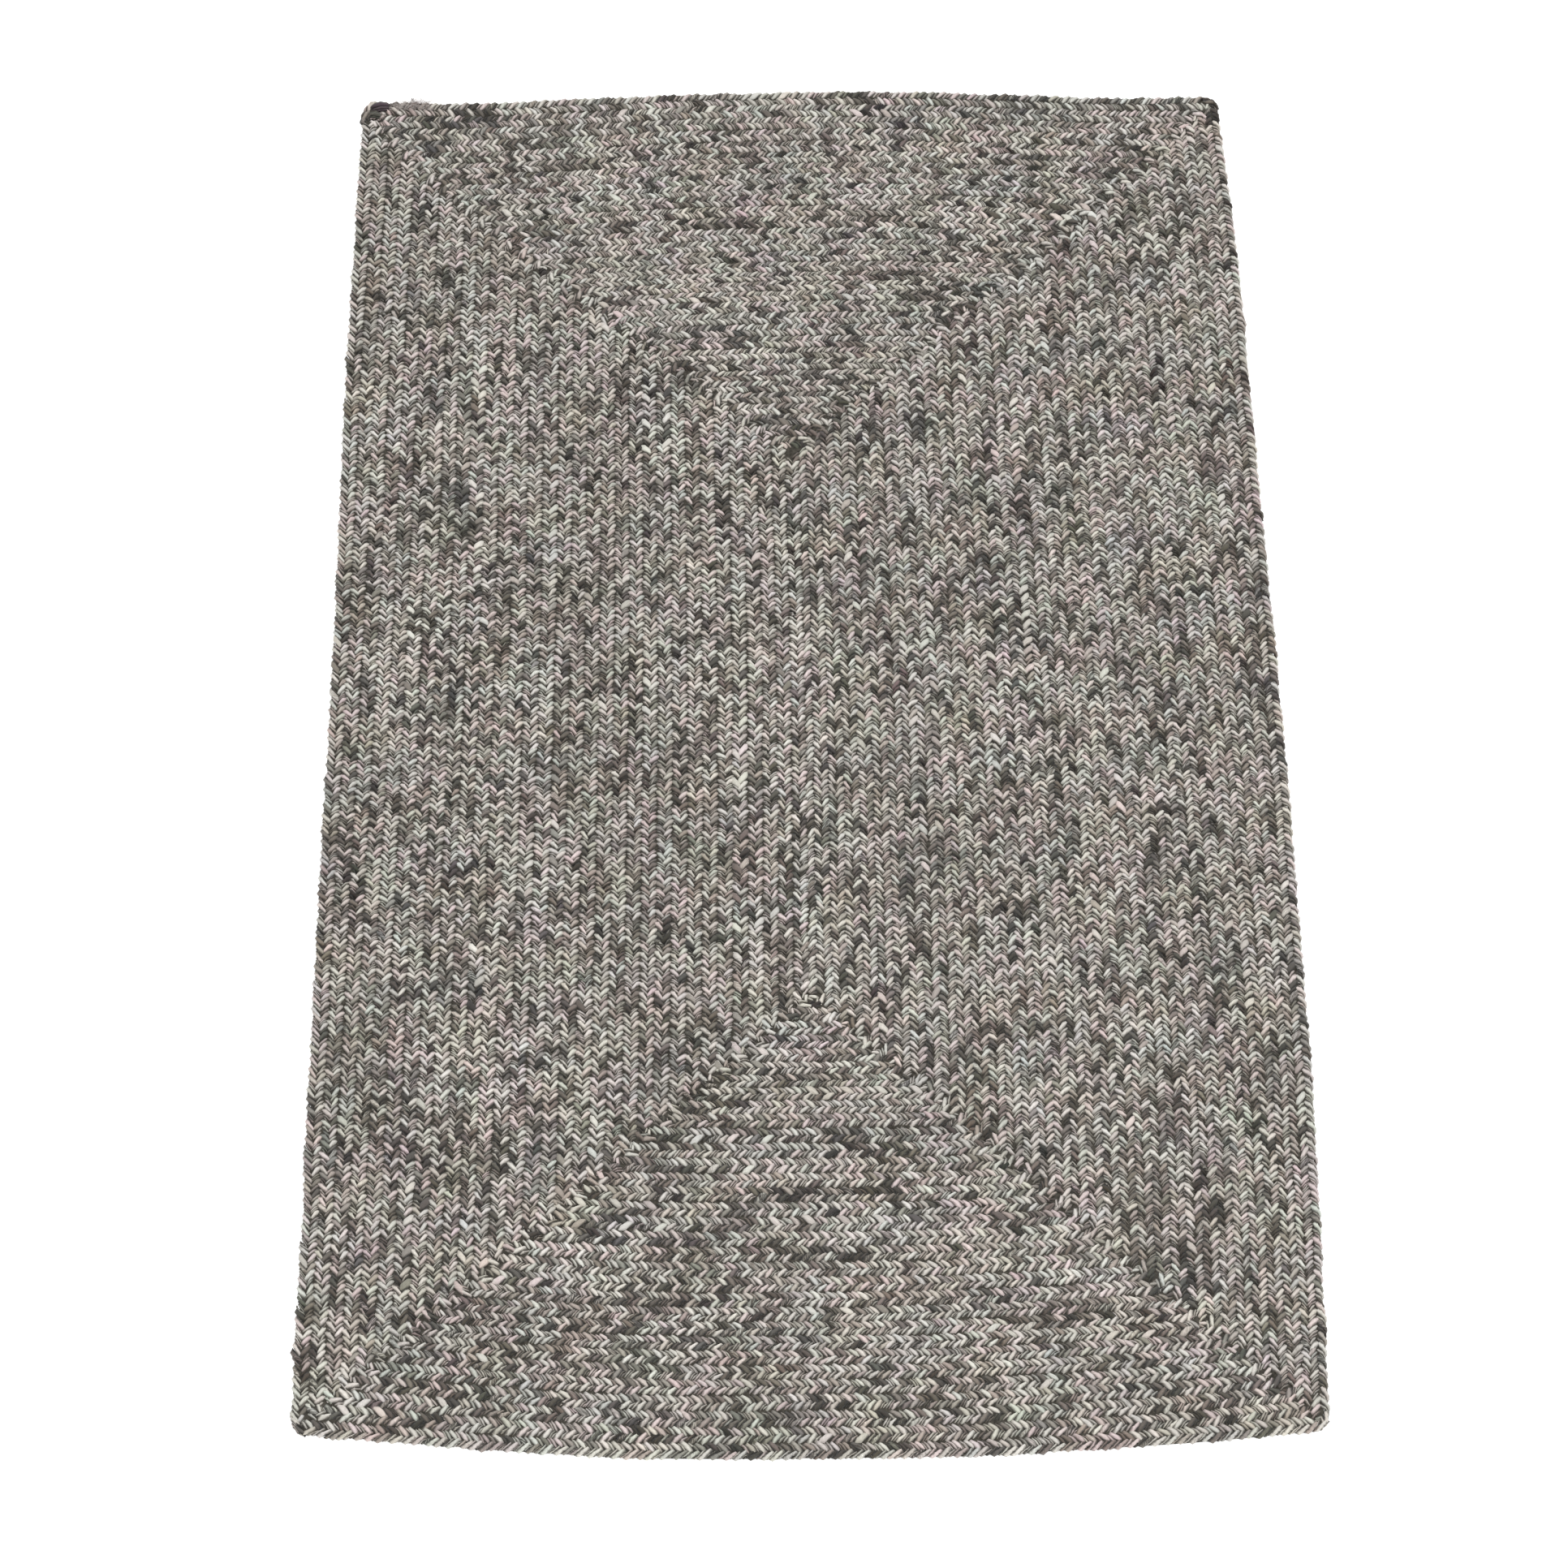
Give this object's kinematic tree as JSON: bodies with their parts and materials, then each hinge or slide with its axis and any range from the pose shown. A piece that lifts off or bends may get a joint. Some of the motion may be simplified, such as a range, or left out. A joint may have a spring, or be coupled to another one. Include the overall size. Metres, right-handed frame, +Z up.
{
  "type": "braided rug",
  "caption": "Flat rectangular rug of one three-strand braid wound in a rectangular spiral with mitred corners and sewn round to round.",
  "frame": {"origin": "middle of the flat underside, at the middle of the rug's bounding box", "axes": "+Z up, out of the face that is walked on; +Y along the long side; +X across"},
  "size_m": [0.9084, 1.538, 0.009],
  "materials": {
    "braided_wool": "heathered cream, grey, taupe and charcoal wool yarns, matte and slightly fuzzy"
  },
  "bodies": {
    "root": {"braided_rug": "braided_wool"}
  },
  "joints": []
}
